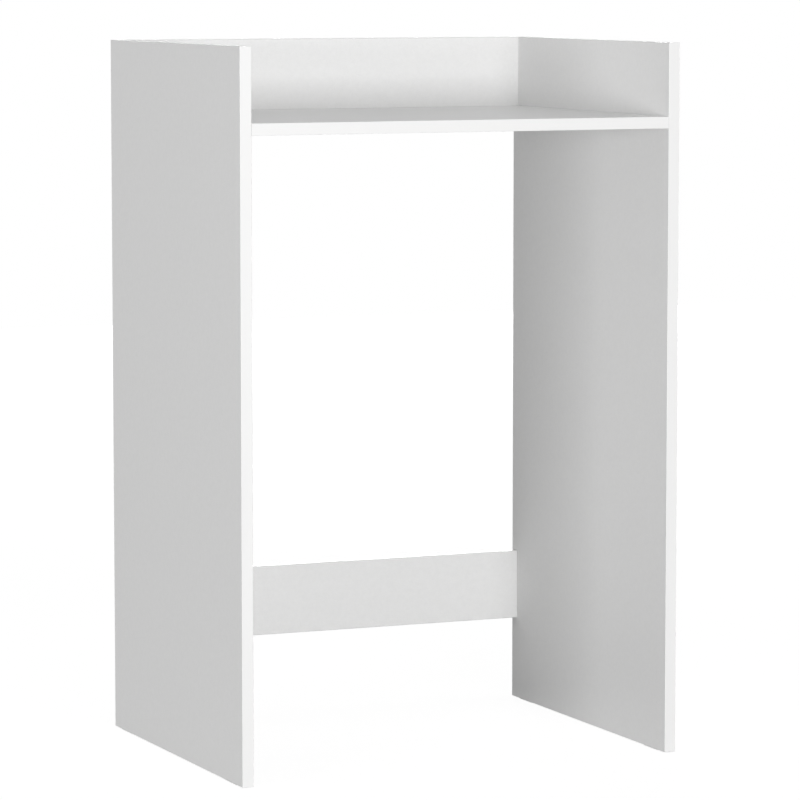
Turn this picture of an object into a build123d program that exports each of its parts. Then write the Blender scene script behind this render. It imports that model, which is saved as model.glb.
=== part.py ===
from build123d import *
import os
from math import asin, cos, hypot, radians, sin

# An open surround cabinet: two sides, a shelf with an upstand behind it, and a rail low at the
# rear. Cams and dowels join the boards. x runs to the viewer's right, y to the rear and z up. The
# origin lies on the floor, under the middle of the cabinet. All lengths are in millimetres.

# Overall sizes
width = 640.0
depth = 495.0
height = 975.0
board = 16.0  # thickness of the melamine-faced chipboard
tray_height = 100.0  # how far the sides and the upstand rise above the shelf
rail_height = 100.0
rail_floor_gap = 120.0  # room for a skirting board, the hoses and the mains lead

# Edging
edging = 0.5
edging_chamfer = 0.3

# Clearances and the overrun of every cut
fit_gap = 0.05  # dowels and screws in their holes, all round
hole_end_gap = 1.0  # left at the blind end of a hole
overrun = 1.0

# Where the fittings stand
cam_reach = 34.0  # from the end of a board to the axis of its cam
shelf_cam_inset = 60.0  # from the shelf's front and rear edges
dowel_pitch = 32.0  # from a cam bolt to the dowel beside it
shelf_rear_dowel_pitch = 300.0  # between the two dowels from the shelf into the upstand

# Cam bolt
bolt_radius = 3.0
screw_length = 11.0  # in the side panel
bore_gap = 0.5  # round the bolt in the board's end
neck_radius = 1.8
neck_gap = 0.6  # from the end of the bolt's thick part to the cam
head_radius = 3.0
head_cone = 1.2  # length of the cone that the cam's wall bears on
head_nose = 2.0
head_nose_radius = 1.6
head_offset = 3.4  # the head's widest ring stops this far short of the cam's axis

# Cam
cam_radius = 7.4
cam_roof = 0.9  # metal between the head's chamber and the cam's inner end
cam_lift = 0.9  # how far the spiral wall draws the head in
cam_turn = 180.0  # degrees from locked to open
head_gap = 0.1  # between the bolt's head and the spiral wall when locked
entry_gap = 0.3  # round the head in the entry and its chamber, and round the neck in its slot
housing_gap = 0.1
housing_slack = 0.3
recess_length = 7.0
recess_width = 1.5
recess_depth = 2.6
arrow_length = 1.8
arrow_width = 2.2
arrow_depth = 0.4
arrow_margin = 0.7

# Dowel
dowel_radius = 4.0
dowel_in_face = 10.0  # length in the face of the side panel or the shelf
dowel_in_end = 20.0  # length in the end of the other board

# Glide
glide_length = 40.0
glide_height = 1.0
glide_margin = 1.0  # the glide stands in from the panel's faces
glide_inset = 45.0  # from the front and rear edges to its middle
glide_chamfer = 0.3

# Places worked out from the sizes
front = -depth / 2
rear = depth / 2
inner_half = width / 2 - board
cross_length = 2 * inner_half
side_height = height - glide_height
side_middle = glide_height + side_height / 2
side_x = width / 2 - board / 2
shelf_top = height - tray_height
shelf_bottom = shelf_top - board
shelf_middle = shelf_top - board / 2
shelf_rear = rear - board
rear_middle = rear - board / 2
rail_top = rail_floor_gap + rail_height
rail_middle = rail_floor_gap + rail_height / 2

cam_x = inner_half - cam_reach
shelf_cam_ys = (front + shelf_cam_inset, shelf_rear - shelf_cam_inset)
shelf_dowel_ys = (shelf_cam_ys[0] + dowel_pitch, shelf_cam_ys[1] - dowel_pitch)
rail_cam_z = rail_middle - dowel_pitch / 2
rail_dowel_z = rail_middle + dowel_pitch / 2
upstand_dowel_z = shelf_top + tray_height / 2

shank_end = cam_reach - cam_radius - neck_gap
head_ring = cam_reach - head_offset
head_start = head_ring - head_cone
chamber_half = head_radius + entry_gap
neck_slot_half = neck_radius + entry_gap
cam_height = board / 2 + chamber_half + cam_roof
housing_radius = cam_radius + housing_gap
housing_depth = cam_height + housing_slack
lock_radius = hypot(head_offset + head_cone, neck_radius) + head_gap
cut_radius = cam_radius + overrun

screw_hole_radius = bolt_radius + fit_gap
screw_hole_depth = screw_length + hole_end_gap
bore_radius = bolt_radius + bore_gap
dowel_hole_radius = dowel_radius + fit_gap
face_hole_depth = dowel_in_face + hole_end_gap
end_hole_depth = dowel_in_end + hole_end_gap
glide_y = depth / 2 - glide_inset

upward = (0, 0, 1)
downward = (0, 0, -1)
forward = (0, -1, 0)
backward = (0, 1, 0)
rightward = (1, 0, 0)
onward = (Align.CENTER, Align.CENTER, Align.MIN)
sides = {"left": -1, "right": 1}

os.makedirs("parts", exist_ok=True)

# Side panels, drilled on their inner faces for the bolts and dowels
screw_points = [(y, shelf_middle) for y in shelf_cam_ys] + [(rear_middle, rail_cam_z)]
dowel_points = [(y, shelf_middle) for y in shelf_dowel_ys]
dowel_points += [(rear_middle, upstand_dowel_z), (rear_middle, rail_dowel_z)]
for side, sign in sides.items():
    with BuildPart() as side_panel:
        with BuildSketch(Plane.YZ.offset(sign * inner_half)):
            with Locations((0, side_middle)):
                Rectangle(depth - 2 * edging, side_height - 2 * edging)
        extrude(amount=sign * board)
        with BuildSketch(Plane.YZ.offset(sign * (inner_half - overrun))):
            with Locations(*screw_points):
                Circle(screw_hole_radius)
        extrude(amount=sign * (screw_hole_depth + overrun), mode=Mode.SUBTRACT)
        with BuildSketch(Plane.YZ.offset(sign * (inner_half - overrun))):
            with Locations(*dowel_points):
                Circle(dowel_hole_radius)
        extrude(amount=sign * (face_hole_depth + overrun), mode=Mode.SUBTRACT)
    side_panel.part.label = f"{side}_side_panel"
    export_step(side_panel.part, f"parts/{side}_side_panel.step")

# Shelf, with its cams let into the underside and two dowels into the upstand behind it
with BuildPart() as shelf_panel:
    with BuildSketch(Plane.XY.offset(shelf_bottom)):
        with Locations((0, (front + edging + shelf_rear) / 2)):
            Rectangle(cross_length, shelf_rear - front - edging)
    extrude(amount=board)
    with BuildSketch(Plane.XY.offset(shelf_bottom - overrun)):
        for y in shelf_cam_ys:
            with Locations((-cam_x, y), (cam_x, y)):
                Circle(housing_radius)
    extrude(amount=housing_depth + overrun, mode=Mode.SUBTRACT)
    for sign in sides.values():
        with BuildSketch(Plane.YZ.offset(sign * (inner_half + overrun))):
            for y in shelf_cam_ys:
                with Locations((y, shelf_middle)):
                    Circle(bore_radius)
        extrude(amount=-sign * (cam_reach + overrun), mode=Mode.SUBTRACT)
        with BuildSketch(Plane.YZ.offset(sign * (inner_half + overrun))):
            for y in shelf_dowel_ys:
                with Locations((y, shelf_middle)):
                    Circle(dowel_hole_radius)
        extrude(amount=-sign * (end_hole_depth + overrun), mode=Mode.SUBTRACT)
    with BuildSketch(Plane.XZ.offset(-shelf_rear - overrun)):
        with Locations((0, shelf_middle)):
            with GridLocations(shelf_rear_dowel_pitch, 0, 2, 1):
                Circle(dowel_hole_radius)
    extrude(amount=end_hole_depth + overrun, mode=Mode.SUBTRACT)
shelf_panel.part.label = "shelf_panel"
export_step(shelf_panel.part, "parts/shelf_panel.step")

# Upstand, held between the sides by dowels and covering the shelf's rear edge
with BuildPart() as upstand_panel:
    with BuildSketch(Plane.XY.offset(shelf_bottom + edging)):
        with Locations((0, rear_middle)):
            Rectangle(cross_length, board)
    extrude(amount=board + tray_height - 2 * edging)
    with BuildSketch(Plane.XZ.offset(-shelf_rear + overrun)):
        with Locations((0, shelf_middle)):
            with GridLocations(shelf_rear_dowel_pitch, 0, 2, 1):
                Circle(dowel_hole_radius)
    extrude(amount=-face_hole_depth - overrun, mode=Mode.SUBTRACT)
    for sign in sides.values():
        with BuildSketch(Plane.YZ.offset(sign * (inner_half + overrun))):
            with Locations((rear_middle, upstand_dowel_z)):
                Circle(dowel_hole_radius)
        extrude(amount=-sign * (end_hole_depth + overrun), mode=Mode.SUBTRACT)
upstand_panel.part.label = "upstand_panel"
export_step(upstand_panel.part, "parts/upstand_panel.step")

# Rear rail, with its cams let into the rear face
with BuildPart() as rear_rail:
    with BuildSketch(Plane.XY.offset(rail_floor_gap + edging)):
        with Locations((0, rear_middle)):
            Rectangle(cross_length, board)
    extrude(amount=rail_height - 2 * edging)
    with BuildSketch(Plane.XZ.offset(-rear - overrun)):
        with Locations((-cam_x, rail_cam_z), (cam_x, rail_cam_z)):
            Circle(housing_radius)
    extrude(amount=housing_depth + overrun, mode=Mode.SUBTRACT)
    for sign in sides.values():
        with BuildSketch(Plane.YZ.offset(sign * (inner_half + overrun))):
            with Locations((rear_middle, rail_cam_z)):
                Circle(bore_radius)
        extrude(amount=-sign * (cam_reach + overrun), mode=Mode.SUBTRACT)
        with BuildSketch(Plane.YZ.offset(sign * (inner_half + overrun))):
            with Locations((rear_middle, rail_dowel_z)):
                Circle(dowel_hole_radius)
        extrude(amount=-sign * (end_hole_depth + overrun), mode=Mode.SUBTRACT)
rear_rail.part.label = "rear_rail"
export_step(rear_rail.part, "parts/rear_rail.step")

# Edging strips. Each lies on a plane at a board's bare edge, with x along the strip and z outwards
strips = {
    "shelf_front_edging": (Plane((0, front + edging, shelf_middle), rightward, forward), cross_length),
    "upstand_top_edging": (Plane((0, rear_middle, height - edging), rightward, upward), cross_length),
    "upstand_bottom_edging": (
        Plane((0, rear_middle, shelf_bottom + edging), rightward, downward),
        cross_length,
    ),
    "rail_top_edging": (Plane((0, rear_middle, rail_top - edging), rightward, upward), cross_length),
    "rail_bottom_edging": (
        Plane((0, rear_middle, rail_floor_gap + edging), rightward, downward),
        cross_length,
    ),
}
side_run = depth - 2 * edging
for side, sign in sides.items():
    x = sign * side_x
    strips[f"{side}_front_edging"] = (Plane((x, front + edging, side_middle), upward, forward), side_height)
    strips[f"{side}_rear_edging"] = (Plane((x, rear - edging, side_middle), upward, backward), side_height)
    strips[f"{side}_top_edging"] = (Plane((x, 0, height - edging), backward, upward), side_run)
    strips[f"{side}_bottom_edging"] = (Plane((x, 0, glide_height + edging), backward, downward), side_run)
for name, (seat, length) in strips.items():
    with BuildPart() as strip:
        with BuildSketch(seat):
            Rectangle(length, board)
        extrude(amount=edging)
        outer_face = strip.faces().sort_by(Axis(seat.origin, seat.z_dir))[-1]
        chamfer(outer_face.edges().filter_by(Axis(seat.origin, seat.x_dir)), edging_chamfer)
    strip.part.label = name
    export_step(strip.part, f"parts/{name}.step")

# Where the fittings sit. A bolt or dowel seat lies where two boards meet, with z running into the
# end of the drilled board. A cam seat lies on the cam's axis at the bolt's height: x points away
# from the side panel, and z from the face that the cam is let into towards the opposite face
bolt_seats = {"shelf": [], "rail": []}
dowel_seats = {"shelf_dowels": [], "upstand_dowels": [], "rail_dowels": [], "shelf_rear_dowels": []}
cam_seats = {}
for side, sign in sides.items():
    inward = (-sign, 0, 0)
    for end, y in zip(("front", "rear"), shelf_cam_ys):
        bolt_seats["shelf"].append(Plane((sign * inner_half, y, shelf_middle), upward, inward))
        cam_seats[f"{end}_{side}_shelf_cam"] = Plane((sign * cam_x, y, shelf_middle), inward, upward)
    bolt_seats["rail"].append(Plane((sign * inner_half, rear_middle, rail_cam_z), upward, inward))
    cam_seats[f"{side}_rail_cam"] = Plane((sign * cam_x, rear_middle, rail_cam_z), inward, forward)
    for y in shelf_dowel_ys:
        dowel_seats["shelf_dowels"].append(Plane((sign * inner_half, y, shelf_middle), upward, inward))
    for name, z in (("upstand_dowels", upstand_dowel_z), ("rail_dowels", rail_dowel_z)):
        dowel_seats[name].append(Plane((sign * inner_half, rear_middle, z), upward, inward))
    rear_dowel_x = sign * shelf_rear_dowel_pitch / 2
    dowel_seats["shelf_rear_dowels"].append(Plane((rear_dowel_x, shelf_rear, shelf_middle), upward, forward))

# Cam bolts: a screw end in the side panel, a plain shank, a neck and a double-coned head
for member, seats in bolt_seats.items():
    with BuildPart() as cam_bolts:
        for seat in seats:
            with Locations(seat.offset(-screw_length)):
                Cylinder(bolt_radius, screw_length + shank_end, align=onward)
            with Locations(seat.offset(shank_end)):
                Cylinder(neck_radius, head_start - shank_end, align=onward)
            with Locations(seat.offset(head_start)):
                Cone(neck_radius, head_radius, head_cone, align=onward)
            with Locations(seat.offset(head_ring)):
                Cone(head_radius, head_nose_radius, head_nose, align=onward)
    cam_bolts.part.label = f"{member}_cam_bolts"
    export_step(cam_bolts.part, f"parts/{member}_cam_bolts.step")

# Cams. The head comes in along x, and as the cam turns back its spiral wall draws the head in.
# The wall runs from angle 0, where the entry is, to where the bolt stands in the locked cam
spiral = []
for share in (0, 0.25, 0.5, 0.75, 1):
    angle = radians(cam_turn * share)
    radius = lock_radius + cam_lift * (1 - share)
    spiral.append((radius * cos(angle), radius * sin(angle)))
wall_end = asin(chamber_half / lock_radius)
chamber_mouth = spiral[0][0]
arrow_tip = cam_radius - arrow_margin
for name, seat in cam_seats.items():
    with BuildPart() as cam:
        with BuildSketch(seat.offset(-board / 2)):
            Circle(cam_radius)
        extrude(amount=cam_height)
        with BuildSketch(seat.offset(-chamber_half)):
            with BuildLine():
                ThreePointArc(*spiral[:3])
                ThreePointArc(*spiral[2:])
                ThreePointArc(
                    spiral[-1],
                    (-lock_radius * cos(wall_end / 2), -lock_radius * sin(wall_end / 2)),
                    (-lock_radius * cos(wall_end), -chamber_half),
                )
                Polyline(
                    (-lock_radius * cos(wall_end), -chamber_half),
                    (chamber_mouth, -chamber_half),
                    (chamber_mouth, 0),
                )
            make_face()
            with Locations((cut_radius / 2, 0)):
                Rectangle(cut_radius, 2 * chamber_half)
        extrude(amount=2 * chamber_half, mode=Mode.SUBTRACT)
        with BuildSketch(seat.offset(-neck_slot_half)):
            with BuildLine():
                ThreePointArc((cut_radius, 0), (0, cut_radius), (-cut_radius, 0))
                Line((-cut_radius, 0), (cut_radius, 0))
            make_face()
            with Locations((-cut_radius / 2, 0)):
                Rectangle(cut_radius, 2 * neck_slot_half)
        extrude(amount=2 * neck_slot_half, mode=Mode.SUBTRACT)
        with BuildSketch(seat.offset(-board / 2)):
            Rectangle(recess_length, recess_width)
            Rectangle(recess_width, recess_length)
        extrude(amount=recess_depth, mode=Mode.SUBTRACT)
        with BuildSketch(seat.offset(-board / 2)):
            with BuildLine():
                Polyline(
                    (arrow_tip, 0),
                    (arrow_tip - arrow_length, arrow_width / 2),
                    (arrow_tip - arrow_length, -arrow_width / 2),
                    close=True,
                )
            make_face()
        extrude(amount=arrow_depth, mode=Mode.SUBTRACT)
    cam.part.label = name
    export_step(cam.part, f"parts/{name}.step")

# Dowels
for name, seats in dowel_seats.items():
    with BuildPart() as dowels:
        for seat in seats:
            with BuildSketch(seat.offset(-dowel_in_face)):
                Circle(dowel_radius)
            extrude(amount=dowel_in_face + dowel_in_end)
    dowels.part.label = name
    export_step(dowels.part, f"parts/{name}.step")

# Glides under the side panels
for side, sign in sides.items():
    for end, y in (("front", -glide_y), ("rear", glide_y)):
        with BuildPart() as glide:
            with BuildSketch():
                with Locations((sign * side_x, y)):
                    Rectangle(board - 2 * glide_margin, glide_length)
            extrude(amount=glide_height)
            chamfer(glide.faces().sort_by(Axis.Z)[0].edges(), glide_chamfer)
        glide.part.label = f"{end}_{side}_glide"
        export_step(glide.part, f"parts/{end}_{side}_glide.step")
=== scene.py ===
"""An open surround cabinet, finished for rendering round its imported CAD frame.

The boards, edging, cams, bolts and glides keep their CAD shape and get their finishes here. The
dowels are made again with their flutes, and the cam bolts get their screw threads. Lengths are in
metres, in the frame of the CAD model: x to the viewer's right, y to the rear, z up.
"""

import math

import bmesh
import bpy
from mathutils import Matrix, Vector


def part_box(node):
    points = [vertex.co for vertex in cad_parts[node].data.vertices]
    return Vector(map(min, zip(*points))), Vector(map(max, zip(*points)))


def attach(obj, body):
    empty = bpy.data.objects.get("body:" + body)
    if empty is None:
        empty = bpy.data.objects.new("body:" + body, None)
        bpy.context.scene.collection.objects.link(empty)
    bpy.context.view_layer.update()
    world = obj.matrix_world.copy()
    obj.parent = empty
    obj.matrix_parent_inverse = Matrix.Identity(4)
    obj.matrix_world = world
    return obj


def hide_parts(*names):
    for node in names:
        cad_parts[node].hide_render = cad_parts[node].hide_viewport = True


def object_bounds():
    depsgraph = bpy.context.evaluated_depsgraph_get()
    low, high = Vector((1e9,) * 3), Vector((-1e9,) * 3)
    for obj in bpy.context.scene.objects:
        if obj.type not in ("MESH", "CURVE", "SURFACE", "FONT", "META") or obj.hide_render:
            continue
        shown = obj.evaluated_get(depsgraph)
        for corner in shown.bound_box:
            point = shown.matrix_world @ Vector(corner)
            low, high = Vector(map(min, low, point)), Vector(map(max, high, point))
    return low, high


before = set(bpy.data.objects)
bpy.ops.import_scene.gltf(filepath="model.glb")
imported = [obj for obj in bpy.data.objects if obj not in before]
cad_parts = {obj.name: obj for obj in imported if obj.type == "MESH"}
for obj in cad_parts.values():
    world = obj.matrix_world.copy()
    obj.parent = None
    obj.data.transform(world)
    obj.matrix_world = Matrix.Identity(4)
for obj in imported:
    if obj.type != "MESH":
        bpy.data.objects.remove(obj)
CAD_BOX = [list(corner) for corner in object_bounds()]

bl_info = {
    "name": "Surround cabinet",
    "version": (1, 0, 0),
    "blender": (4, 5, 0),
    "location": "3D View > Sidebar > Surround",
    "description": "Finishes the boards, edging and fittings of an open surround cabinet",
    "category": "Object",
}

CARCASS = "carcass"
SAME_POINT = 1e-6  # points nearer than this are one
SAME_PLACE_DIGITS = 6  # decimals of a metre by which solids are put in order
WHITE = (1.0, 1.0, 1.0)

# The axis across each board, 0 for x, 1 for y and 2 for z
BOARDS = {
    "left_side_panel": 0,
    "right_side_panel": 0,
    "shelf_panel": 2,
    "upstand_panel": 1,
    "rear_rail": 1,
}
# The long axis of each strip of edging
EDGINGS = {
    "left_front_edging": 2,
    "left_rear_edging": 2,
    "left_top_edging": 1,
    "left_bottom_edging": 1,
    "right_front_edging": 2,
    "right_rear_edging": 2,
    "right_top_edging": 1,
    "right_bottom_edging": 1,
    "shelf_front_edging": 0,
    "upstand_top_edging": 0,
    "upstand_bottom_edging": 0,
    "rail_top_edging": 0,
    "rail_bottom_edging": 0,
}
CAMS = [
    "front_left_shelf_cam",
    "rear_left_shelf_cam",
    "front_right_shelf_cam",
    "rear_right_shelf_cam",
    "left_rail_cam",
    "right_rail_cam",
]
BOLTS = ["shelf_cam_bolts", "rail_cam_bolts"]
DOWELS = ["shelf_dowels", "upstand_dowels", "rail_dowels", "shelf_rear_dowels"]
GLIDES = ["front_left_glide", "rear_left_glide", "front_right_glide", "rear_right_glide"]
LAMPS = ["front", "left", "rear", "right"]


# Settings


def length(label, text, default):
    return bpy.props.FloatProperty(
        name=label,
        description=text,
        default=default,
        min=0.0,
        precision=5,
        unit="LENGTH",
        subtype="DISTANCE",
    )


def colour(label, text, default):
    return bpy.props.FloatVectorProperty(
        name=label, description=text, default=default, min=0.0, max=1.0, size=3, subtype="COLOR"
    )


def share(label, text, default):
    return bpy.props.FloatProperty(
        name=label, description=text, default=default, min=0.0, max=1.0, subtype="FACTOR"
    )


def place(label, text, default):
    return bpy.props.FloatVectorProperty(
        name=label,
        description=text,
        default=default,
        size=3,
        unit="LENGTH",
        subtype="TRANSLATION",
    )


def angle(label, text, default):
    return bpy.props.FloatProperty(name=label, description=text, default=default, subtype="ANGLE")


def strength(label, text, default):
    return bpy.props.FloatProperty(name=label, description=text, default=default, min=0.0)


def watts(label, text, default):
    return bpy.props.FloatProperty(
        name=label, description=text, default=default, min=0.0, unit="POWER"
    )


class BoardSettings(bpy.types.PropertyGroup):
    face: colour("Face", "Colour of the melamine face", (0.86, 0.86, 0.857))
    mottle: share("Mottle", "How much the white varies over the pearl pattern", 0.03)
    cloud: length("Cloud", "Width of one soft cloud in the white", 0.006)
    cloudiness: share("Cloudiness", "How much the white varies from cloud to cloud", 0.012)
    pearl: length("Pearl", "Width of one bump of the pearl finish", 0.0016)
    pearl_height: length("Pearl height", "Height of the pearl finish", 0.00003)
    gloss: share("Roughness", "Roughness of the melamine face", 0.42)
    # Painted shade: a dark line along the rim of a board's face, for the shadow in the gap where
    # another piece meets it
    joint_shadow: length("Joint", "Width of the dark line where another piece meets the face", 0.00015)
    joint_shade: share("Joint shade", "How dark that line is", 0.5)
    film: length("Film", "Thickness of the melamine on the chipboard", 0.00015)
    chip: length("Chip", "Width of one wood chip in the core", 0.0022)
    chip_pale: colour("Pale chip", "Colour of the palest chips", (0.62, 0.44, 0.26))
    chip_dark: colour("Dark chip", "Colour of the darkest chips", (0.27, 0.16, 0.08))
    chip_height: length("Chip height", "How far the cut chips stand out", 0.0002)
    core_gloss: share("Core roughness", "Roughness of the chipboard", 0.9)


class EdgingSettings(bpy.types.PropertyGroup):
    face: colour("Face", "Colour of the edging strip", (0.87, 0.87, 0.867))
    mottle: share("Mottle", "How much the white varies along a strip", 0.012)
    gloss: share("Roughness", "Roughness of the edging strip", 0.36)
    gloss_range: share("Roughness range", "How far the streaks change the roughness", 0.05)
    streak: length("Streak", "Length of a streak left by the scraper", 0.12)
    streak_width: length("Streak width", "Width of such a streak", 0.0012)
    streak_height: length("Streak height", "Depth of such a streak", 0.00001)
    # Painted shade: a dark line at the ends of a strip, for the shadow in the gap where the next
    # piece meets it
    joint_shadow: length("Joint", "Width of the dark line at the ends of a strip", 0.00015)
    joint_shade: share("Joint shade", "How dark that line is", 0.5)


class FittingSettings(bpy.types.PropertyGroup):
    zinc: colour("Zinc", "Colour of the die-cast cams", (0.60, 0.60, 0.585))
    zinc_worn: colour("Dull zinc", "Colour where the casting is dull", (0.42, 0.42, 0.41))
    zinc_smooth: share("Smoothest zinc", "Lowest roughness of the cams", 0.30)
    zinc_rough: share("Roughest zinc", "Highest roughness of the cams", 0.52)
    cast_patch: length("Cast patch", "Width of a dull patch of the casting", 0.0042)
    cast_grain: length("Cast grain", "Width of the grain of the casting", 0.0007)
    cast_height: length("Cast height", "Height of that grain", 0.00003)
    steel: colour("Steel", "Colour of the plated bolts", (0.66, 0.67, 0.66))
    steel_warm: colour("Plating tint", "Tint where the plating is thicker", (0.60, 0.56, 0.46))
    steel_smooth: share("Smoothest steel", "Lowest roughness of the bolts", 0.22)
    steel_rough: share("Roughest steel", "Highest roughness of the bolts", 0.40)
    tint_patch: length("Tint patch", "Width of a tinted patch of the plating", 0.004)
    turning: length("Turning line", "Width of a turning line", 0.00012)
    turning_run: length("Turning run", "How far a turning line keeps its shade", 0.02)
    turning_height: length("Turning height", "Depth of a turning line", 0.00001)
    thread_pitch: length("Thread pitch", "Advance of the bolt's thread in one turn", 0.0022)
    thread_height: length("Thread height", "How far the thread stands out of the bolt", 0.0006)
    thread_length: length("Thread length", "Length of the bolt's thread", 0.0095)
    thread_tip: length("Thread tip", "From the bolt's tip to the thread's end", 0.0008)


class DowelSettings(bpy.types.PropertyGroup):
    pale: colour("Pale beech", "Colour of the palest grain", (0.68, 0.49, 0.31))
    dark: colour("Dark beech", "Colour of the darkest grain", (0.49, 0.31, 0.17))
    grain: length("Grain", "Width of a line of the grain", 0.0005)
    grain_run: length("Grain run", "Length of a line of the grain", 0.015)
    grain_height: length("Grain height", "Height of the grain", 0.00005)
    fleck: length("Fleck", "Width of a fleck", 0.0004)
    fleck_run: length("Fleck run", "Length of a fleck", 0.002)
    fleck_share: share("Fleck share", "How much of the wood the flecks take", 0.16)
    fleck_shade: share("Fleck shade", "How dark the flecks are", 0.45)
    smooth: share("Smoothest beech", "Lowest roughness of the dowels", 0.62)
    rough: share("Roughest beech", "Highest roughness of the dowels", 0.78)
    flutes: bpy.props.IntProperty(
        name="Flutes", description="Number of flutes round a dowel", default=18, min=3, max=60
    )
    flute_depth: length("Flute depth", "Depth of a flute", 0.00035)
    chamfer: length("Chamfer", "Length of the taper at a dowel's ends", 0.0012)


class GlideSettings(bpy.types.PropertyGroup):
    face: colour("Face", "Colour of the glides", (0.78, 0.78, 0.775))
    mottle: share("Mottle", "How much the white varies over the grain", 0.08)
    smooth: share("Smoothest plastic", "Lowest roughness of the glides", 0.45)
    rough: share("Roughest plastic", "Highest roughness of the glides", 0.62)
    grain: length("Grain", "Width of the moulded grain", 0.0006)
    grain_height: length("Grain height", "Height of the moulded grain", 0.00003)


class StageSettings(bpy.types.PropertyGroup):
    camera: place("Camera", "Place of the camera", (-2.3082, -5.3192, 1.0837))
    turn: angle("Turn", "How far the camera looks to the right of the rear", 0.4117)
    dip: angle("Dip", "How far the camera looks down", 0.1041)
    lens: bpy.props.FloatProperty(
        name="Lens",
        description="Focal length in millimetres on a sensor 36 mm wide",
        default=188.709,
        min=1.0,
    )
    sky: strength("Sky", "Strength of the sky's light", 0.42)
    sky_seen: strength("Sky seen", "Strength of the sky as the camera sees it", 1.0)
    lamp_distance: length("Lamp distance", "From the object's axis to each lamp", 8.0)
    lamp_height: length("Lamp height", "Height of each lamp's middle", 0.75)
    lamp_width: length("Lamp width", "Width of each lamp's panel", 3.0)
    lamp_rise: length("Lamp rise", "Height of each lamp's panel", 1.3)
    front_lamp: watts("Front lamp", "Power of the lamp in front", 325.0)
    front_way: angle("Front lamp's way", "From the front, to the right, to the front lamp", -0.06)
    left_lamp: watts("Left lamp", "Power of the lamp on the left", 187.0)
    left_way: angle("Left lamp's way", "From the front, to the right, to the left lamp", -1.047)
    rear_lamp: watts("Rear lamp", "Power of the lamp behind", 200.0)
    rear_way: angle("Rear lamp's way", "From the front, to the right, to the rear lamp", 2.7)
    right_lamp: watts("Right lamp", "Power of the lamp on the right", 95.0)
    right_way: angle("Right lamp's way", "From the front, to the right, to the right lamp", 1.571)
    floor: colour("Floor", "Colour of the floor as it lights the object", (0.35, 0.35, 0.35))
    floor_seen: colour("Floor seen", "Colour of the floor as the camera sees it", (0.9, 0.9, 0.9))
    floor_size: length("Floor size", "Side of the floor", 13.0)
    floor_drop: length("Floor drop", "How far the floor lies under the glides", 0.0001)
    floor_white: share("Floor white", "How white the floor looks, where 1 hides the shadow", 0.75)
    floor_glow: strength("Floor glow", "Strength of the white on the floor that is seen", 1.18)


# Finishes

NOISE_RANGE = (0.3, 0.7)  # where most values of a noise texture lie
ZINC_RANGE = (0.35, 0.65)  # narrower, so that the dull patches of the cams have plain borders
TINT_RANGE = (0.4, 0.65)  # and the tinted patches of the bolts too
CORE_AXIS = 1  # the chips and fibres of the core lie along y
CHIP_RUN = 1.7  # length of a chip over its width
FIBRE_RUN = 2.0  # length of a fibre over a chip's width
FIBRES_ACROSS = 3  # fibres side by side in a chip
CHIP_SHARE = 0.6  # how much the chips count in the core's shade, and the fibres the rest


class Nodes:
    """Adds nodes to a tree and links them as they are made."""

    def __init__(self, tree):
        self.tree = tree

    def node(self, kind, inputs=(), **fields):
        made = self.tree.nodes.new(kind)
        for name, value in fields.items():
            setattr(made, name, value)
        for name, value in dict(inputs).items():
            self.set(made.inputs[name], value)
        return made

    def set(self, socket, value):
        if isinstance(value, bpy.types.NodeSocket):
            self.tree.links.new(value, socket)
        elif socket.type == "RGBA":
            socket.default_value = (*value, 1.0)
        else:
            socket.default_value = value

    def maths(self, operation, *values):
        return self.node("ShaderNodeMath", enumerate(values), operation=operation).outputs[0]


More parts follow.
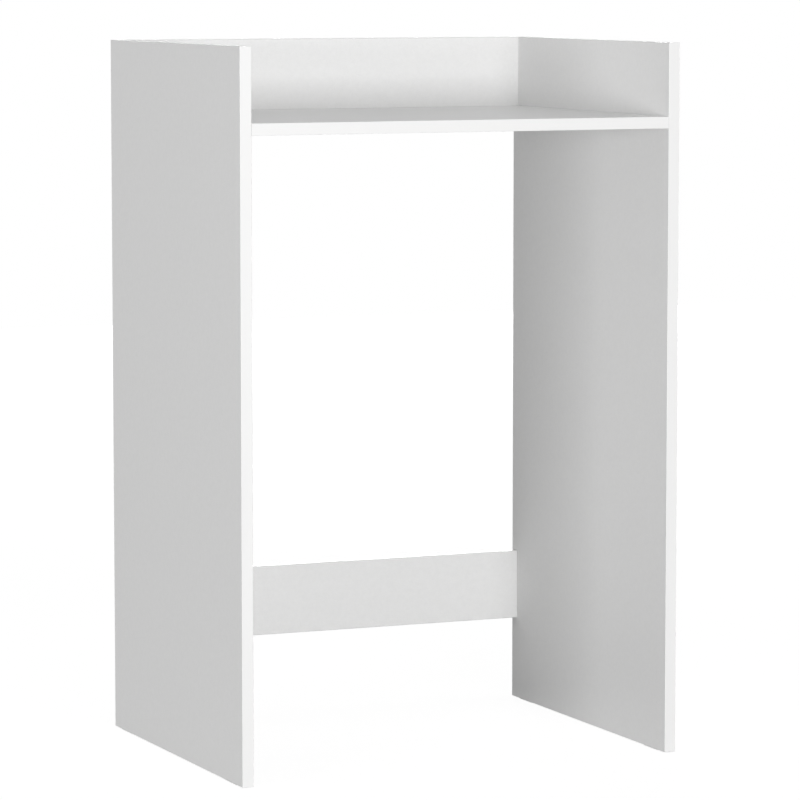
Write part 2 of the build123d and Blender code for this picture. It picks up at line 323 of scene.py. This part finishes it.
class Finish(Nodes):
    """A material on Object coordinates, built up to the sockets of its shader."""

    def __init__(self, name):
        self.material = bpy.data.materials.new(name)
        self.material.use_nodes = True
        super().__init__(self.material.node_tree)
        self.shader = self.tree.nodes["Principled BSDF"]
        self.place = self.node("ShaderNodeTexCoord").outputs["Object"]

    def scaled(self, widths):
        """Object coordinates with one unit for each of the three widths."""
        scale = [1 / width for width in widths]
        return self.node("ShaderNodeMapping", {"Vector": self.place, "Scale": scale}).outputs[0]

    def noise(self, widths, detail=2.0):
        inputs = {"Vector": self.scaled(widths), "Scale": 1.0, "Detail": detail}
        return self.node("ShaderNodeTexNoise", inputs).outputs["Fac"]

    def cells(self, widths, output="Color"):
        inputs = {"Vector": self.scaled(widths), "Scale": 1.0}
        return self.node("ShaderNodeTexVoronoi", inputs).outputs[output]

    def spread(self, value, low, high, found=(0.0, 1.0)):
        """Moves a value from the range it is found in to the range from low to high."""
        start, end = found
        inputs = {"Value": value, "From Min": start, "From Max": end, "To Min": low, "To Max": high}
        return self.node("ShaderNodeMapRange", inputs).outputs[0]

    def blend(self, amount, first, second):
        mixed = self.node("ShaderNodeMix", data_type="RGBA")
        colours = [socket for socket in mixed.inputs if socket.type == "RGBA"]
        self.set(mixed.inputs["Factor"], amount)
        self.set(colours[0], first)
        self.set(colours[1], second)
        return next(socket for socket in mixed.outputs if socket.type == "RGBA")

    def shaded(self, hue, *factors):
        """A colour times each of the factors."""
        for factor in factors:
            scaled = self.node("ShaderNodeVectorMath", {0: hue}, operation="SCALE")
            self.set(scaled.inputs["Scale"], factor)
            hue = scaled.outputs[0]
        return hue

    def bump(self, height, distance, below=None):
        inputs = {"Height": height, "Distance": distance, "Strength": 1.0}
        if below:
            inputs["Normal"] = below
        return self.node("ShaderNodeBump", inputs).outputs[0]

    def within(self, name, axis, margin):
        """1 inside a node's box along an axis, and 0 nearer than the margin to its ends."""
        low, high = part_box(name)
        along = self.node("ShaderNodeSeparateXYZ", {"Vector": self.place}).outputs[axis]
        middle, reach = (low[axis] + high[axis]) / 2, (high[axis] - low[axis]) / 2 - margin
        from_middle = self.maths("ABSOLUTE", self.maths("SUBTRACT", along, middle))
        return self.maths("LESS_THAN", from_middle, reach)

    def painted_joint_shadow(self, name, axes, settings):
        """A factor of painted shade that darkens the rim of a node's box along the given axes, for
        the shadow in the gap where the next piece meets it.
        """
        inside = 1.0
        for axis in axes:
            inside = self.maths("MULTIPLY", inside, self.within(name, axis, settings.joint_shadow))
        return self.spread(inside, 1.0 - settings.joint_shade, 1.0)

    def give(self, **sockets):
        for name, value in sockets.items():
            self.set(self.shader.inputs[name.replace("_", " ")], value)
        return self.material


def dress(node, material):
    """Gives a node of the frame its finish, and leaves its mesh alone."""
    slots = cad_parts[node].material_slots
    if not slots:
        raise RuntimeError(f"{node} has no material slot")
    for slot in slots:
        slot.material = material


def shades(hue, amount):
    """A colour a little darker and a little lighter than the one given."""
    return [tuple(min(1.0, part * (1 + way * amount)) for part in hue) for way in (-1, 1)]


def stretched(width, axis, length_along):
    """The three widths of a pattern that is drawn out along one axis."""
    widths = [width] * 3
    widths[axis] = length_along
    return widths


def board_finish(name, axis, settings):
    """White pearl melamine on the faces, and chipboard wherever a hole opens the core."""
    skin = Finish(f"melamine_{name}")
    pearl = skin.noise([settings.pearl] * 3, detail=1.0)
    cloud = skin.noise([settings.cloud] * 3)
    cloudiness = settings.cloudiness
    grey = skin.spread(cloud, 1.0 - cloudiness, 1.0 + cloudiness, NOISE_RANGE)
    # Painted shade darkens the white along the rims where the other pieces meet the face
    joint_shadow = skin.painted_joint_shadow(name, [i for i in range(3) if i != axis], settings)
    white = skin.shaded(skin.blend(pearl, *shades(settings.face, settings.mottle)), grey, joint_shadow)
    chip = settings.chip
    chip_widths = stretched(chip, CORE_AXIS, chip * CHIP_RUN)
    fibre_widths = stretched(chip / FIBRES_ACROSS, CORE_AXIS, chip * FIBRE_RUN)
    chips = skin.maths("MULTIPLY", skin.cells(chip_widths), CHIP_SHARE)
    fibres = skin.maths("MULTIPLY", skin.noise(fibre_widths, detail=3.0), 1.0 - CHIP_SHARE)
    chip_shade = skin.maths("ADD", chips, fibres)
    wood = skin.blend(chip_shade, settings.chip_dark, settings.chip_pale)
    in_core = skin.within(name, axis, settings.film)
    cut_chips = skin.maths("MULTIPLY", skin.cells(chip_widths, "Distance"), in_core)
    return skin.give(
        Base_Color=skin.blend(in_core, white, wood),
        Roughness=skin.spread(in_core, settings.gloss, settings.core_gloss),
        Normal=skin.bump(cut_chips, settings.chip_height, skin.bump(pearl, settings.pearl_height)),
    )


def edging_finish(name, axis, settings):
    """A white plastic strip with the scraper's faint streaks along it."""
    strip = Finish(f"plastic_{name}")
    streaks = strip.noise(stretched(settings.streak_width, axis, settings.streak))
    fine = strip.noise([settings.streak_width / 2] * 3, detail=1.0)
    mean = strip.maths("MULTIPLY", strip.maths("ADD", streaks, fine), 0.5)
    white = strip.blend(mean, *shades(settings.face, settings.mottle))
    gloss, gloss_range = settings.gloss, settings.gloss_range
    return strip.give(
        # The white is darkened at the strip's ends by painted shade, for the shadow in the joint
        Base_Color=strip.shaded(white, strip.painted_joint_shadow(name, [axis], settings)),
        Roughness=strip.spread(streaks, gloss - gloss_range, gloss + gloss_range),
        Normal=strip.bump(streaks, settings.streak_height),
    )


def zinc_finish(settings):
    """Die-cast zinc: grey, faintly mottled, with the grain of the mould."""
    cast = Finish("cam_zinc")
    patches = cast.spread(cast.noise([settings.cast_patch] * 3, detail=3.0), 0.0, 1.0, ZINC_RANGE)
    grain = cast.noise([settings.cast_grain] * 3)
    return cast.give(
        Base_Color=cast.blend(patches, settings.zinc_worn, settings.zinc),
        Metallic=1.0,
        Roughness=cast.spread(grain, settings.zinc_smooth, settings.zinc_rough, NOISE_RANGE),
        Normal=cast.bump(grain, settings.cast_height),
    )


def steel_finish(settings):
    """Plated steel with turning lines round the bolts, which lie along x."""
    plated = Finish("bolt_steel")
    turning = plated.noise(stretched(settings.turning_run, 0, settings.turning))
    patches = plated.spread(plated.noise([settings.tint_patch] * 3), 0.0, 1.0, TINT_RANGE)
    return plated.give(
        Base_Color=plated.blend(patches, settings.steel, settings.steel_warm),
        Metallic=1.0,
        Roughness=plated.spread(turning, settings.steel_smooth, settings.steel_rough, NOISE_RANGE),
        Normal=plated.bump(turning, settings.turning_height),
    )


def beech_finish(axis, settings):
    """Beech with its grain along the dowel and short dark flecks."""
    wood = Finish(f"beech_along_{'xyz'[axis]}")
    lines = wood.noise(stretched(settings.grain, axis, settings.grain_run), detail=3.0)
    cells = wood.cells(stretched(settings.fleck, axis, settings.fleck_run), "Distance")
    flecks = wood.maths("LESS_THAN", cells, settings.fleck_share)
    body = wood.blend(wood.spread(lines, 0.0, 1.0, NOISE_RANGE), settings.dark, settings.pale)
    return wood.give(
        Base_Color=wood.blend(
            wood.maths("MULTIPLY", flecks, settings.fleck_shade), body, settings.dark
        ),
        Roughness=wood.spread(lines, settings.smooth, settings.rough),
        Normal=wood.bump(lines, settings.grain_height),
    )


def glide_finish(settings):
    """White moulded plastic with a fine spark-eroded grain."""
    moulded = Finish("glide_plastic")
    grain = moulded.noise([settings.grain] * 3)
    return moulded.give(
        Base_Color=moulded.blend(grain, *shades(settings.face, settings.mottle)),
        Roughness=moulded.spread(grain, settings.smooth, settings.rough),
        Normal=moulded.bump(grain, settings.grain_height),
    )


# Shapes

STEPS_PER_FLUTE = 4  # corners of a dowel's outline for each flute
DOWEL_ROWS = 4  # rows of faces along a dowel, of which the outer two are its tapers
END_SHARE = 0.75  # share of half a dowel past which only the ring at its end lies
STEPS_PER_TURN = 24  # corners of the thread's helix in one turn
RIDGE_CORNERS = 4  # corners of the thread's section
RIDGE_LEFT = 0.02  # share of the thread's height that is left where it fades out


def solids(node):
    """Lowest and highest corner of each separate solid of a CAD node, in a fixed order."""
    shape = bmesh.new()
    shape.from_mesh(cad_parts[node].data)
    bmesh.ops.remove_doubles(shape, verts=shape.verts, dist=SAME_POINT)
    left, found = set(shape.verts), []
    while left:
        front, island = [left.pop()], []
        while front:
            vertex = front.pop()
            island.append(vertex.co.copy())
            for edge in vertex.link_edges:
                other = edge.other_vert(vertex)
                if other in left:
                    left.discard(other)
                    front.append(other)
        along_axes = list(zip(*island))
        lowest = Vector([min(values) for values in along_axes])
        highest = Vector([max(values) for values in along_axes])
        found.append((lowest, highest))
    shape.free()
    return sorted(found, key=lambda pair: [round(part, SAME_PLACE_DIGITS) for part in pair[0]])


class Recipe(Nodes):
    """A Geometry Nodes tree with named inputs, built from the first node to Set Material."""

    def __init__(self, name, **inputs):
        super().__init__(bpy.data.node_groups.new(name, "GeometryNodeTree"))
        self.values = {label.replace("_", " "): value for label, value in inputs.items()}
        kinds = {float: "NodeSocketFloat", int: "NodeSocketInt"}
        sockets = self.tree.interface
        sockets.new_socket("Places", in_out="INPUT", socket_type="NodeSocketGeometry")
        for label, value in self.values.items():
            kind = kinds.get(type(value), "NodeSocketMaterial")
            sockets.new_socket(label, in_out="INPUT", socket_type=kind)
        sockets.new_socket("Mesh", in_out="OUTPUT", socket_type="NodeSocketGeometry")
        self.given = self.node("NodeGroupInput").outputs

    def finish(self, geometry):
        realized = self.node("GeometryNodeRealizeInstances", {"Geometry": geometry}).outputs[0]
        inputs = {"Geometry": realized, "Material": self.given["Material"]}
        dressed = self.node("GeometryNodeSetMaterial", inputs).outputs[0]
        out = self.tree.nodes.new("NodeGroupOutput")
        self.tree.links.new(dressed, out.inputs["Mesh"])

    def bake(self, name, points, ways):
        """Runs the tree on the given places, and returns a plain mesh object at the origin."""
        cloud = bpy.data.meshes.new(f"{name}_places")
        cloud.from_pydata([tuple(point) for point in points], [], [])
        facing = cloud.attributes.new("facing", "FLOAT_VECTOR", "POINT")
        facing.data.foreach_set("vector", [part for way in ways for part in way])
        seat = bpy.data.objects.new(f"{name}_places", cloud)
        bpy.context.scene.collection.objects.link(seat)
        modifier = seat.modifiers.new("recipe", "NODES")
        modifier.node_group = self.tree
        for item in self.tree.interface.items_tree:
            if item.in_out == "INPUT" and item.name in self.values:
                modifier[item.identifier] = self.values[item.name]
        bpy.context.view_layer.update()
        graph = bpy.context.evaluated_depsgraph_get()
        baked = bpy.data.meshes.new_from_object(seat.evaluated_get(graph))
        baked.name = name
        bpy.data.objects.remove(seat)
        bpy.data.meshes.remove(cloud)
        if not baked.polygons:
            raise RuntimeError(f"{name} came out empty")
        piece = bpy.data.objects.new(name, baked)
        bpy.context.scene.collection.objects.link(piece)
        return piece


def placed_along(recipe, shape):
    """Puts one copy of a shape that stands along z on each place, turned to face its way."""
    facing = recipe.node(
        "GeometryNodeInputNamedAttribute", {"Name": "facing"}, data_type="FLOAT_VECTOR"
    )
    turn = recipe.node("FunctionNodeAlignRotationToVector", {"Vector": facing.outputs[0]}, axis="Z")
    inputs = {"Points": recipe.given["Places"], "Instance": shape, "Rotation": turn.outputs[0]}
    return recipe.node("GeometryNodeInstanceOnPoints", inputs).outputs[0]


def fluted_dowel(radius, span, settings, material):
    """A turned dowel: flutes round it, and a taper at each end."""
    recipe = Recipe(
        "fluted_dowel",
        Radius=radius,
        Length=span,
        Flutes=settings.flutes,
        Flute_Depth=settings.flute_depth,
        Taper=settings.chamfer,
        Material=material,
    )
    given, maths = recipe.given, recipe.maths
    rod = recipe.node(
        "GeometryNodeMeshCylinder",
        {
            "Vertices": maths("MULTIPLY", given["Flutes"], STEPS_PER_FLUTE),
            "Side Segments": DOWEL_ROWS,
            "Radius": given["Radius"],
            "Depth": given["Length"],
        },
        fill_type="NGON",
    )
    where = recipe.node("GeometryNodeInputPosition").outputs[0]
    parts = recipe.node("ShaderNodeSeparateXYZ", {"Vector": where}).outputs
    bearing = maths("ARCTAN2", parts["Y"], parts["X"])
    wave = maths("COSINE", maths("MULTIPLY", bearing, given["Flutes"]))
    groove = maths("MULTIPLY_ADD", wave, 0.5, 0.5)
    cut = maths("MULTIPLY", groove, maths("DIVIDE", given["Flute Depth"], given["Radius"]))
    half = maths("MULTIPLY", given["Length"], 0.5)
    end_start = maths("MULTIPLY", half, END_SHARE)
    at_end = maths("GREATER_THAN", maths("ABSOLUTE", parts["Z"]), end_start)
    taper = maths("MULTIPLY", at_end, maths("DIVIDE", given["Taper"], given["Radius"]))
    across = maths("SUBTRACT", maths("SUBTRACT", 1.0, cut), taper)
    # The rings halfway to the ends move out to the shoulders, where the tapers begin
    shoulder = maths("SUBTRACT", 2.0, maths("DIVIDE", maths("MULTIPLY", given["Taper"], 2.0), half))
    stretch = maths("ADD", maths("MULTIPLY", at_end, maths("SUBTRACT", 1.0, shoulder)), shoulder)
    moved = recipe.node(
        "ShaderNodeCombineXYZ",
        {
            "X": maths("MULTIPLY", parts["X"], across),
            "Y": maths("MULTIPLY", parts["Y"], across),
            "Z": maths("MULTIPLY", parts["Z"], stretch),
        },
    ).outputs[0]
    shaped = recipe.node(
        "GeometryNodeSetPosition", {"Geometry": rod.outputs["Mesh"], "Position": moved}
    ).outputs[0]
    recipe.finish(placed_along(recipe, shaped))
    return recipe


def screw_thread(radius, settings, material):
    """A helical ridge that fades out at both ends of the thread."""
    recipe = Recipe(
        "screw_thread",
        Radius=radius,
        Pitch=settings.thread_pitch,
        Height=settings.thread_height,
        Length=settings.thread_length,
        Material=material,
    )
    given, maths = recipe.given, recipe.maths
    turns = maths("DIVIDE", given["Length"], given["Pitch"])
    helix = recipe.node(
        "GeometryNodeCurveSpiral",
        {
            "Resolution": STEPS_PER_TURN,
            "Rotations": turns,
            "Start Radius": given["Radius"],
            "End Radius": given["Radius"],
            "Height": given["Length"],
        },
    ).outputs[0]
    along = recipe.node("GeometryNodeSplineParameter").outputs["Factor"]
    rise = maths("MULTIPLY", along, turns)
    fall = maths("MULTIPLY", maths("SUBTRACT", 1.0, along), turns)
    fade = maths("ADD", maths("MINIMUM", maths("MINIMUM", rise, fall), 1.0), RIDGE_LEFT)
    faded = recipe.node("GeometryNodeSetCurveRadius", {"Curve": helix, "Radius": fade}).outputs[0]
    ridge = recipe.node(
        "GeometryNodeCurvePrimitiveCircle",
        {"Resolution": RIDGE_CORNERS, "Radius": given["Height"]},
    ).outputs[0]
    swept = recipe.node(
        "GeometryNodeCurveToMesh", {"Curve": faded, "Profile Curve": ridge, "Fill Caps": True}
    ).outputs[0]
    recipe.finish(placed_along(recipe, swept))
    return recipe


# Operators


class SURROUND_OT_boards(bpy.types.Operator):
    """Give the sides, the shelf, the upstand and the rail their melamine and chipboard"""

    bl_idname = "surround.boards"
    bl_label = "Finish the boards"

    def execute(self, context):
        for name, axis in BOARDS.items():
            dress(name, board_finish(name, axis, context.scene.surround_boards))
        return {"FINISHED"}


class SURROUND_OT_edgings(bpy.types.Operator):
    """Give the edging strips their white plastic finish"""

    bl_idname = "surround.edgings"
    bl_label = "Finish the edging"

    def execute(self, context):
        for name, axis in EDGINGS.items():
            dress(name, edging_finish(name, axis, context.scene.surround_edgings))
        return {"FINISHED"}


class SURROUND_OT_cams(bpy.types.Operator):
    """Give the six cams their die-cast zinc"""

    bl_idname = "surround.cams"
    bl_label = "Finish the cams"

    def execute(self, context):
        zinc = zinc_finish(context.scene.surround_fittings)
        for name in CAMS:
            dress(name, zinc)
        return {"FINISHED"}


class SURROUND_OT_bolts(bpy.types.Operator):
    """Give the cam bolts their plated steel and their screw threads"""

    bl_idname = "surround.bolts"
    bl_label = "Finish the bolts"

    def execute(self, context):
        settings = context.scene.surround_fittings
        steel = steel_finish(settings)
        for name in BOLTS:
            dress(name, steel)
            starts, ways, radius = [], [], 0.0
            for low, high in solids(name):
                outward = math.copysign(1.0, low.x + high.x)
                tip = high.x if outward > 0 else low.x
                inset = settings.thread_tip + settings.thread_length
                starts.append((tip - outward * inset, (low.y + high.y) / 2, (low.z + high.z) / 2))
                ways.append((outward, 0.0, 0.0))
                radius = (high.z - low.z) / 2
            thread = screw_thread(radius, settings, steel).bake(f"{name}_threads", starts, ways)
            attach(thread, CARCASS)
        return {"FINISHED"}


class SURROUND_OT_dowels(bpy.types.Operator):
    """Make the fluted beech dowels in the places of the CAD's plain ones"""

    bl_idname = "surround.dowels"
    bl_label = "Make the dowels"

    def execute(self, context):
        settings = context.scene.surround_dowels
        for name in DOWELS:
            boxes = solids(name)
            spans = boxes[0][1] - boxes[0][0]
            axis = max(range(3), key=lambda i: spans[i])
            way = [float(i == axis) for i in range(3)]
            wood = beech_finish(axis, settings)
            recipe = fluted_dowel(min(spans) / 2, spans[axis], settings, wood)
            middles = [(low + high) / 2 for low, high in boxes]
            dowels = recipe.bake(f"fluted_{name}", middles, [way] * len(middles))
            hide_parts(name)
            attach(dowels, CARCASS)
        return {"FINISHED"}


class SURROUND_OT_glides(bpy.types.Operator):
    """Give the stick-on glides their moulded plastic"""

    bl_idname = "surround.glides"
    bl_label = "Finish the glides"

    def execute(self, context):
        plastic = glide_finish(context.scene.surround_glides)
        for name in GLIDES:
            dress(name, plastic)
        return {"FINISHED"}


class SURROUND_OT_stage(bpy.types.Operator):
    """Set up the floor, the sky, the lamps and the camera"""

    bl_idname = "surround.stage"
    bl_label = "Set the stage"

    def execute(self, context):
        settings = context.scene.surround_stage
        self.add_floor(context.scene, settings)
        self.add_sky(context.scene, settings)
        self.add_lamps(context.scene, settings)
        self.add_camera(context.scene, settings)
        context.scene.view_settings.view_transform = "Standard"
        return {"FINISHED"}

    def add_floor(self, scene, settings):
        """A pale floor that keeps the shadow, is seen as white and isn't there from below."""
        half, level = settings.floor_size / 2, -settings.floor_drop
        mesh = bpy.data.meshes.new("floor")
        corners = [(x * half, y * half, level) for x, y in ((-1, -1), (1, -1), (1, 1), (-1, 1))]
        mesh.from_pydata(corners, [], [(0, 1, 2, 3)])
        floor = bpy.data.objects.new("floor", mesh)
        scene.collection.objects.link(floor)
        pale = Finish("pale_floor")
        tree = pale.tree
        tree.nodes.remove(pale.shader)
        seen = self.seen(pale)
        shade = pale.blend(seen, settings.floor, settings.floor_seen)
        matt = pale.node("ShaderNodeBsdfDiffuse", {"Color": shade})
        white = pale.node("ShaderNodeEmission", {"Strength": settings.floor_glow})
        whiten = pale.maths("MULTIPLY", seen, settings.floor_white)
        top = pale.node("ShaderNodeMixShader", {0: whiten, 1: matt.outputs[0], 2: white.outputs[0]})
        below = pale.node("ShaderNodeNewGeometry").outputs["Backfacing"]
        clear = pale.node("ShaderNodeBsdfTransparent")
        both = pale.node("ShaderNodeMixShader", {0: below, 1: top.outputs[0], 2: clear.outputs[0]})
        tree.links.new(both.outputs[0], tree.nodes["Material Output"].inputs["Surface"])
        mesh.materials.append(pale.material)

    def add_sky(self, scene, settings):
        """White where it is seen, and a plain soft light on everything else."""
        sky = bpy.data.worlds.new("sky")
        scene.world = sky
        sky.use_nodes = True
        plain = Nodes(sky.node_tree)
        light = plain.node("ShaderNodeBackground", {"Color": WHITE, "Strength": settings.sky})
        white = plain.node("ShaderNodeBackground", {"Color": WHITE, "Strength": settings.sky_seen})
        inputs = {0: self.seen(plain), 1: light.outputs[0], 2: white.outputs[0]}
        mixed = plain.node("ShaderNodeMixShader", inputs)
        plain.tree.links.new(mixed.outputs[0], plain.tree.nodes["World Output"].inputs["Surface"])

    def seen(self, stage):
        """1 for the rays that show the background: straight, mirrored or through glass."""
        path = stage.node("ShaderNodeLightPath").outputs
        mirrored = stage.maths("MAXIMUM", path["Is Glossy Ray"], path["Is Transmission Ray"])
        return stage.maths("MAXIMUM", path["Is Camera Ray"], mirrored)

    def add_lamps(self, scene, settings):
        """Wide soft panels that stand round the object and face it."""
        middle = (Vector(CAD_BOX[0]) + Vector(CAD_BOX[1])) / 2
        for name in LAMPS:
            way = getattr(settings, f"{name}_way")
            panel = bpy.data.lights.new(f"{name}_lamp", "AREA")
            panel.energy = getattr(settings, f"{name}_lamp")
            panel.shape = "RECTANGLE"
            panel.size, panel.size_y = settings.lamp_width, settings.lamp_rise
            lamp = bpy.data.objects.new(f"{name}_lamp", panel)
            scene.collection.objects.link(lamp)
            reach = settings.lamp_distance
            lamp.location = (reach * math.sin(way), -reach * math.cos(way), settings.lamp_height)
            lamp.rotation_euler = (middle - lamp.location).to_track_quat("-Z", "Y").to_euler()

    def add_camera(self, scene, settings):
        view = bpy.data.cameras.new("camera")
        view.lens = settings.lens
        camera = bpy.data.objects.new("camera", view)
        scene.collection.objects.link(camera)
        camera.location = settings.camera
        camera.rotation_euler = (math.pi / 2 - settings.dip, 0.0, -settings.turn)
        scene.camera = camera


OPERATORS = [
    SURROUND_OT_stage,
    SURROUND_OT_boards,
    SURROUND_OT_edgings,
    SURROUND_OT_cams,
    SURROUND_OT_bolts,
    SURROUND_OT_dowels,
    SURROUND_OT_glides,
]
SETTINGS = {
    "surround_stage": StageSettings,
    "surround_boards": BoardSettings,
    "surround_edgings": EdgingSettings,
    "surround_fittings": FittingSettings,
    "surround_dowels": DowelSettings,
    "surround_glides": GlideSettings,
}


class SURROUND_PT_panel(bpy.types.Panel):
    """Lists the steps that dress the surround"""

    bl_idname = "SURROUND_PT_panel"
    bl_label = "Surround cabinet"
    bl_space_type = "VIEW_3D"
    bl_region_type = "UI"
    bl_category = "Surround"

    def draw(self, context):
        for operator in OPERATORS:
            self.layout.operator(operator.bl_idname)
        for name, group in SETTINGS.items():
            box = self.layout.box()
            box.label(text=name.removeprefix("surround_").capitalize())
            for key in group.__annotations__:
                box.prop(getattr(context.scene, name), key)


def register():
    for group in SETTINGS.values():
        bpy.utils.register_class(group)
    for operator in OPERATORS:
        bpy.utils.register_class(operator)
    bpy.utils.register_class(SURROUND_PT_panel)
    for name, group in SETTINGS.items():
        setattr(bpy.types.Scene, name, bpy.props.PointerProperty(type=group))


def unregister():
    for name in SETTINGS:
        delattr(bpy.types.Scene, name)
    bpy.utils.unregister_class(SURROUND_PT_panel)
    for kind in [*OPERATORS, *SETTINGS.values()]:
        bpy.utils.unregister_class(kind)


def main():
    register()
    for operator in OPERATORS:
        group, name = operator.bl_idname.split(".")
        getattr(getattr(bpy.ops, group), name)()


if __name__ == "__main__":
    main()
